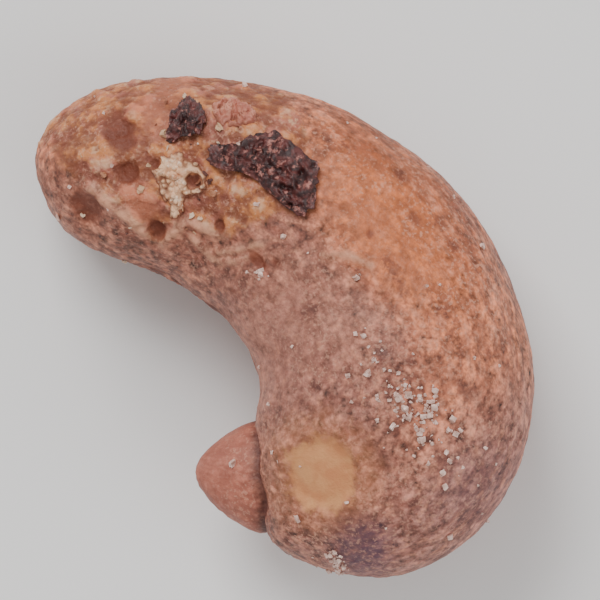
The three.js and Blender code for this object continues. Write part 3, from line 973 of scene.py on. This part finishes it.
def closed_outline(points, steps):
    """Smooth closed curve through points, in metres, evenly spread by point."""
    knots = np.array(points) * MM
    places = np.arange(steps) * len(knots) / steps
    index = places.astype(int)
    part = (places - index)[:, None]
    before, here, after, later = (knots[(index + k) % len(knots)] for k in (-1, 0, 1, 2))
    return 0.5 * (
        2 * here + (after - before) * part + (2 * before - 5 * here + 4 * after - later) * part**2
        + (3 * here - before - 3 * after + later) * part**3
    )


def sampled(pattern, x, y, size, seed):
    """Values of a noise pattern at points seen from above."""
    spots = zip(x.ravel() / size, y.ravel() / size)
    values = np.array([pattern(Vector((a, b, seed))) for a, b in spots])
    return values.reshape(*x.shape, *values.shape[1:])


def folded(x, y, size, seed):
    """Sharp folds from 0 to 1 at points seen from above."""
    folds = sampled(lambda at: noise.ridged_multi_fractal(at, 0.9, 2.1, 3, 1.0, 2.0), x, y, size, seed)
    return np.clip(folds / 2.2, 0.0, 1.0)


def lumpy(x, y, size, seed):
    """Rounded lumps and the ridges between them, each from 0 to 1, at points seen from above."""
    near = sampled(lambda at: noise.voronoi(at)[0][:2], x, y, size, seed)
    ridges = 1.0 - (near[..., 1] - near[..., 0]) / 0.45
    return np.clip(1.0 - near[..., 0], 0.0, 1.0), np.clip(ridges, 0.0, 1.0)


def hollows_in(x, y, size, seed):
    """Sunk places of a thin sheet, 1 in them and 0 elsewhere, at points seen from above."""
    return smoothstep(sampled(noise.noise, x, y, size, seed), 0.15, 0.35)


def scrap_arrays(form, outline, top_lift, sheet, ragged, seed):
    """Closed lid over the skin: ragged rim, a top lifted by a function, and a sheet's thickness below it."""
    spokes, rings = 180, 46
    rim = closed_outline(outline, spokes)
    centre = rim.mean(0)
    angle = np.arange(spokes) * math.tau / spokes
    teeth = sum(np.sin(times * angle + seed * times) / times**0.5 for times in (5, 9, 16, 27, 41))
    rim = centre + (rim - centre) * (1 + ragged * teeth)[:, None]
    part = (np.arange(1, rings + 1) / rings)[:, None]
    x = centre[0] + part * (rim[:, 0] - centre[0])
    y = centre[1] + part * (rim[:, 1] - centre[1])
    t, around = place_under(form, x, y)
    top = top_lift(x, y, np.broadcast_to(part, x.shape))
    below = np.minimum(top - 0.05 * MM, np.maximum(0.01 * MM, top - sheet))
    middle_t, middle_around = place_under(form, centre[:1], centre[1:])
    middle_top = top[0].mean()
    upper = lifted_points(form, t, around, top).reshape(-1, 3)
    lower = lifted_points(form, t, around, below).reshape(-1, 3)
    hub_top = lifted_points(form, middle_t, middle_around, np.array([middle_top]))
    hub_low = lifted_points(form, middle_t, middle_around, np.array([below[0].mean()]))
    vertices = np.vstack([hub_top, upper, hub_low, lower])
    lifts = np.concatenate([[middle_top], top.ravel(), [middle_top], top.ravel()])

    at = 1 + np.arange(rings * spokes).reshape(rings, spokes)
    beside = np.roll(at, -1, axis=1)
    lid = np.stack([at[:-1], at[1:], beside[1:], beside[:-1]], -1).reshape(-1, 4)
    under = len(upper) + 1
    faces = [tuple(quad) for quad in lid] + [tuple(quad[::-1] + under) for quad in lid]
    faces += [(0, a, b) for a, b in zip(at[0], beside[0])]
    faces += [(under, b + under, a + under) for a, b in zip(at[0], beside[0])]
    faces += [(a, a + under, b + under, b) for a, b in zip(at[-1], beside[-1])]
    return vertices, faces, lifts


def facing_out(piece):
    """Turn a closed piece's faces outwards."""
    shape = bmesh.new()
    shape.from_mesh(piece.data)
    bmesh.ops.recalc_face_normals(shape, faces=shape.faces)
    shape.to_mesh(piece.data)
    shape.free()


# Operators

class CASHEW_OT_nut(bpy.types.Operator):
    """Kernel in its skin with the nib, the suture, fine relief and a bald patch"""

    bl_idname = "cashew.nut"
    bl_label = "Nut"

    def execute(self, context):
        scene = context.scene
        form, nib, look = scene.cashew_form, scene.cashew_nib, scene.cashew_relief
        kernel = kernel_arrays(form, form.rings, form.spots)
        egg = nib_arrays(nib, 72, 48)
        piece = mesh_object("nut_skin", *kernel)
        bud = mesh_object("nib_bud", *egg)
        union = piece.modifiers.new("Nib", "BOOLEAN")
        union.object, union.operation, union.solver = bud, "UNION", "MANIFOLD"
        settle(piece)
        bpy.data.meshes.remove(bud.data)
        self.mark(form, piece.data, kernel, egg)
        piece.data.transform(Matrix.Translation(frame_shift(form, nib)))
        piece.data.shade_smooth()
        values = {item.name: getattr(look, item.identifier) for item in settings_of(look)}
        values["Finish"] = skin_material(scene.cashew_colours, look.pebble_size, look.seed)
        run_tree(piece, relief_tree(values), values)
        ride_and_replace(piece, "skin", "cashew_nut")
        return {"FINISHED"}

    def mark(self, form, mesh, kernel, bud):
        """Store where the skin is bald, creased, tinted, painted with shade, crusted, folded, pitted, dusty
        or strewn.
        """
        points = vertex_places(mesh)
        x, y = points[:, 0], points[:, 1]
        grain, section = straightened(form, points)
        upper = smoothstep(grain[:, 2], -1.0 * MM, 1.0 * MM)
        from_kernel = surface_distance(kernel, points)
        from_bud = surface_distance(bud, points)
        inner = smoothstep(-grain[:, 1], -1.0 * MM, 3.5 * MM) * smoothstep(x, -5.0 * MM, 0.0)
        backward = smoothstep(grain[:, 1], -0.5 * MM, 2.5 * MM)
        across = grain[:, 1] / np.maximum(section.half_width, MM)
        # Band along the back edge: partly darker roasted skin, partly painted shade.
        browned_and_rim_shade = smoothstep(across, 0.45, 0.85) * smoothstep(x, -8.0 * MM, -4.0 * MM)
        thick_end = smoothstep(x, 7.5 * MM, 12.0 * MM)
        before_thick = 1 - smoothstep(x, 2.0 * MM, 6.0 * MM)
        out_of_reach = 9 * (1 - upper)

        def within(place, low, high):
            """1 in a place of the upper side, fading out from one reach to another."""
            return upper * (1 - smoothstep(reach_from(place, x, y), low, high))

        def nearest(places):
            """Reach from the nearest of some places, far on the underside."""
            return np.min([reach_from(place, x, y) for place in places], axis=0) + out_of_reach

        lines = [1.3 * stripe(TORN_EDGE, x, y, 0.26 * MM), *(stripe(fold, x, y, 0.2 * MM) for fold in FOLDS)]
        salted = 0.004 + 0.8 * glow(SALTED, x, y)
        for place in SALT_SPOTS:
            salted = np.maximum(salted, 1.0 - smoothstep(reach_from(place, x, y), 0.7, 1.2))
        flecked = glow(FLECKED, x, y) * (from_kernel < 0.1 * MM)
        marks = {
            "grain": grain,
            "bald_reach": nearest([BALD_PATCH]),
            "crease": np.exp(-np.maximum(from_kernel, from_bud) / (0.32 * MM)),
            "nib": smoothstep(from_kernel, 0.05 * MM, 0.5 * MM),
            # The stain, and a weaker painted shade over the thick end.
            "stain_and_shade": np.maximum(within(STAIN, 0.4, 1.25), 0.38 * within(PAINTED_SHADE_THICK_END, 0.2, 1.2)),
            "flush": within(FLUSH, 0.3, 1.4),
            "blush": np.max([within(place, 0.5, 1.3) for place in BLUSHES], axis=0),
            "browned_and_rim_shade": browned_and_rim_shade * before_thick,
            "warmth": upper * backward * (1 - thick_end),
            "greyness": np.maximum(thick_end, 0.5 * inner),
            "smooth": inner * before_thick,
            "crust": depth_inside(CRUST_OUTLINE, x, y) / MM - 3 * (1 - upper),
            "spot_reach": nearest(DARK_SPOTS),
            "pit_reach": nearest(PITS),
            "folds": upper * np.max(lines, axis=0),
            "dusty": upper * np.maximum(np.minimum(1.3 * salted, 1.3), 1.7 * flecked),
            "salted": upper * np.minimum(np.maximum(salted, 0.02 * flecked), 1.0),
            "crumbled": upper * glow(CRUMBLED, x, y),
        }
        for name, values in marks.items():
            write_numbers(mesh, name, values)


class CASHEW_OT_scraps(bpy.types.Operator):
    """Dark flakes, pale crumbs and pink scrap stuck on the thin lobe"""

    bl_idname = "cashew.scraps"
    bl_label = "Scraps"

    def execute(self, context):
        scene = context.scene
        colours = scene.cashew_colours
        dark = [colours.dark_flake, *DARK_TONES]
        dark = dry_material("dark_scrap", dark, 0.5 * MM, 0.16 * MM, (0.28, 0.5))
        pale = [colours.pale_crumb, *PALE_TONES, colours.scorch]
        pale = dry_material("pale_crust", pale, 0.6 * MM, 0.18 * MM, (0.5, 0.85))
        rumpled = [colours.pink_scrap, *PINK_TONES, colours.ground]
        rumpled = dry_material("pink_rumple", rumpled, 0.5 * MM, 0.2 * MM, (0.4, 0.7))
        large = self.crumpled(0.1, 0.6, 0.7, 0.16, 0.0, 1.3)
        small = self.crumpled(0.08, 0.5, 0.6, 0.16, 0.0, 4.1)
        pink = self.crumpled(0.02, 0.55, 0.42, 0.25, 0.3, 9.2)
        self.add("dark_flake_large", "dark_flake", dark, large, 0.12, 0.08, 1.0)
        self.add("dark_flake_small", "dark_flake", dark, small, 0.12, 0.08, 2.3)
        self.add("pale_crumbs", "pale_crumb", pale, self.netted(0.6, 0.85, 7.7), 0.6, 0.1, 3.1)
        self.add("pink_scrap", "pink_scrap", rumpled, pink, 0.12, 0.08, 4.4)
        return {"FINISHED"}

    def crumpled(self, stand, height, size, sunk, rim_sink, seed):
        """Lift of a crumpled sheet with sunk places and a rim that may sink, in millimetres given."""
        def lift(x, y, part):
            folds = folded(x, y, size * MM, seed)
            curl = 0.5 + 0.5 * np.sin(2.3 * x / MM + 1.7 * y / MM + seed)
            settled = stand * (0.35 + 0.65 * curl * part**2) + height * folds * (1 - 0.45 * part**4)
            hollows = hollows_in(x, y, 0.45 * MM, seed + 3)
            return MM * (0.08 + settled - sunk * hollows - rim_sink * part**6)
        return lift

    def netted(self, height, size, seed):
        """Lift of clotted crumbs, a network of ridges round small pits, in millimetres given."""
        def lift(x, y, part):
            lumps, ridges = lumpy(x, y, size * MM, seed)
            finer, cracks = lumpy(x, y, size * MM / 3.2, seed + 5)
            net = 0.35 * ridges + 0.15 * lumps + 0.45 * finer * (1 - 0.7 * cracks)
            streak = 0.35 * stripe(PALE_STREAK, x, y, 0.3 * MM)
            away = [np.hypot(x / MM - a, y / MM - b) - radius for a, b, radius in PALE_RINGS]
            net = net + streak + 0.3 * np.exp(-((np.abs(away).min(0) / 0.16) ** 2))
            pits = [1 - smoothstep(reach_from(place, x, y), 0.6, 1.2) for place in PITS]
            sunk = 0.25 * part**8 + 0.5 * np.max(pits, axis=0)
            return MM * (height * (net - 0.2) * (1 - 0.6 * part**6) - sunk)
        return lift

    def add(self, name, slot, material, lift, sheet, ragged, seed):
        """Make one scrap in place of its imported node."""
        scene = bpy.context.scene
        made = scrap_arrays(scene.cashew_form, SCRAP_OUTLINES[name], lift, sheet * MM, ragged, seed)
        vertices, faces, lifts = made
        piece = mesh_object(f"{name}_crust", vertices, faces)
        write_numbers(piece.data, "lift", lifts / MM)
        facing_out(piece)
        piece.data.transform(Matrix.Translation(frame_shift(scene.cashew_form, scene.cashew_nib)))
        piece.data.materials.append(material)
        ride_and_replace(piece, slot, name)


class CASHEW_OT_grains(bpy.types.Operator):
    """Salt crystals and crumbs strewn over the skin"""

    bl_idname = "cashew.grains"
    bl_label = "Salt and Crumbs"

    def execute(self, context):
        scene = context.scene
        look, colours = scene.cashew_scatter, scene.cashew_colours
        self.strew("salt_grains", "salted", True, {
            "Size": look.salt_size, "Gap": look.salt_gap, "Density": look.salt_per_area,
            "Seed": look.salt_seed, "Finish": salt_material(colours),
        })
        self.strew("spice_crumbs", "crumbled", False, {
            "Size": look.crumb_size, "Gap": look.crumb_gap, "Density": look.crumb_per_area,
            "Seed": look.crumb_seed, "Finish": crumb_material(colours),
        })
        return {"FINISHED"}

    def strew(self, name, share_name, crystal, values):
        """Run a scatter tree on a copy of the nut's mesh, which the grains then replace."""
        piece = new_object(name, bpy.data.objects["nut_skin"].data.copy())
        piece.data.materials.clear()
        run_tree(piece, scatter_tree(name, share_name, crystal, values), values)
        if not piece.data.polygons:
            raise RuntimeError(f"{name} came out empty")
        piece.data.shade_flat()
        ride_and_replace(piece, "pale_crumb")


class CASHEW_OT_stage(bpy.types.Operator):
    """Plain pale floor, soft studio light and the camera above the nut"""

    bl_idname = "cashew.stage"
    bl_label = "Stage"

    def execute(self, context):
        look = context.scene.cashew_stage
        low, high = (Vector(corner) for corner in CAD_BOX)
        middle = (low + high) / 2
        up = Vector((math.cos(look.heading), math.sin(look.heading), 0.0))
        right = Vector((up.y, -up.x, 0.0))
        self.add_floor(look)
        self.add_camera(look, middle, high.x - low.x, up, right)
        self.add_light("key", middle, up * 0.34 - right * 0.16 + Vector((0, 0, 0.42)), 0.3, look.key_power)
        self.add_light("fill", middle, right * 0.42 - up * 0.22 + Vector((0, 0, 0.3)), 0.4, look.fill_power)
        world = bpy.data.worlds.new("studio")
        world.use_nodes = True
        Tree(world.node_tree).fill(world.node_tree.nodes["Background"], {
            "Color": (1.0, 1.0, 1.0, 1.0), "Strength": look.sky,
        })
        context.scene.world = world
        return {"FINISHED"}

    def add_floor(self, look):
        """Wide plain floor just under the nut."""
        half = 1.5
        corners = [(-half, -half, 0.0), (half, -half, 0.0), (half, half, 0.0), (-half, half, 0.0)]
        floor = mesh_object("floor", corners, [(0, 1, 2, 3)])
        material, tree, shader = new_material("floor_paper")[:3]
        tree.fill(shader, {"Base Color": opaque(look.floor), "Roughness": 0.8})
        floor.data.materials.append(material)

    def add_camera(self, look, middle, span, up, right):
        """Camera looking down on the nut, turned as in the photograph."""
        camera = new_object("camera", bpy.data.cameras.new("camera"))
        camera.data.lens = look.lens
        camera.data.clip_start = 0.01
        back = Vector((0, 0, math.sin(look.elevation))) - up * math.cos(look.elevation)
        distance = span / look.fill * look.lens / camera.data.sensor_width
        turned = Matrix((right, back.cross(right), back)).transposed().to_4x4()
        camera.matrix_world = Matrix.Translation(middle + back * distance) @ turned
        bpy.context.scene.camera = camera

    def add_light(self, name, middle, offset, size, power):
        """Square soft light aimed at the nut."""
        lamp = bpy.data.lights.new(name, "AREA")
        lamp.size, lamp.energy = size, power
        light = new_object(name, lamp)
        light.location = middle + offset
        light.rotation_euler = offset.to_track_quat("Z", "Y").to_euler()


class CASHEW_PT_panel(bpy.types.Panel):
    """Cashew's pieces and their settings"""

    bl_label = "Cashew"
    bl_idname = "CASHEW_PT_panel"
    bl_space_type = "VIEW_3D"
    bl_region_type = "UI"
    bl_category = "Cashew"

    def draw(self, context):
        for step in OPERATORS:
            self.layout.operator(step.bl_idname)
        for name in SETTINGS:
            box = self.layout.box()
            group = getattr(context.scene, name)
            for setting in settings_of(group):
                box.prop(group, setting.identifier)


SETTINGS = {
    "cashew_form": CashewForm,
    "cashew_nib": CashewNib,
    "cashew_relief": CashewRelief,
    "cashew_colours": CashewColours,
    "cashew_scatter": CashewScatter,
    "cashew_stage": CashewStage,
}
OPERATORS = [CASHEW_OT_nut, CASHEW_OT_scraps, CASHEW_OT_grains, CASHEW_OT_stage]


def register():
    for kind in [*SETTINGS.values(), *OPERATORS, CASHEW_PT_panel]:
        bpy.utils.register_class(kind)
    for name, group in SETTINGS.items():
        setattr(bpy.types.Scene, name, bpy.props.PointerProperty(type=group))


def unregister():
    for name in SETTINGS:
        delattr(bpy.types.Scene, name)
    for kind in reversed([*SETTINGS.values(), *OPERATORS, CASHEW_PT_panel]):
        bpy.utils.unregister_class(kind)


def main():
    register()
    bpy.ops.cashew.nut()
    bpy.ops.cashew.scraps()
    bpy.ops.cashew.grains()
    bpy.ops.cashew.stage()


if __name__ == "__main__":
    main()
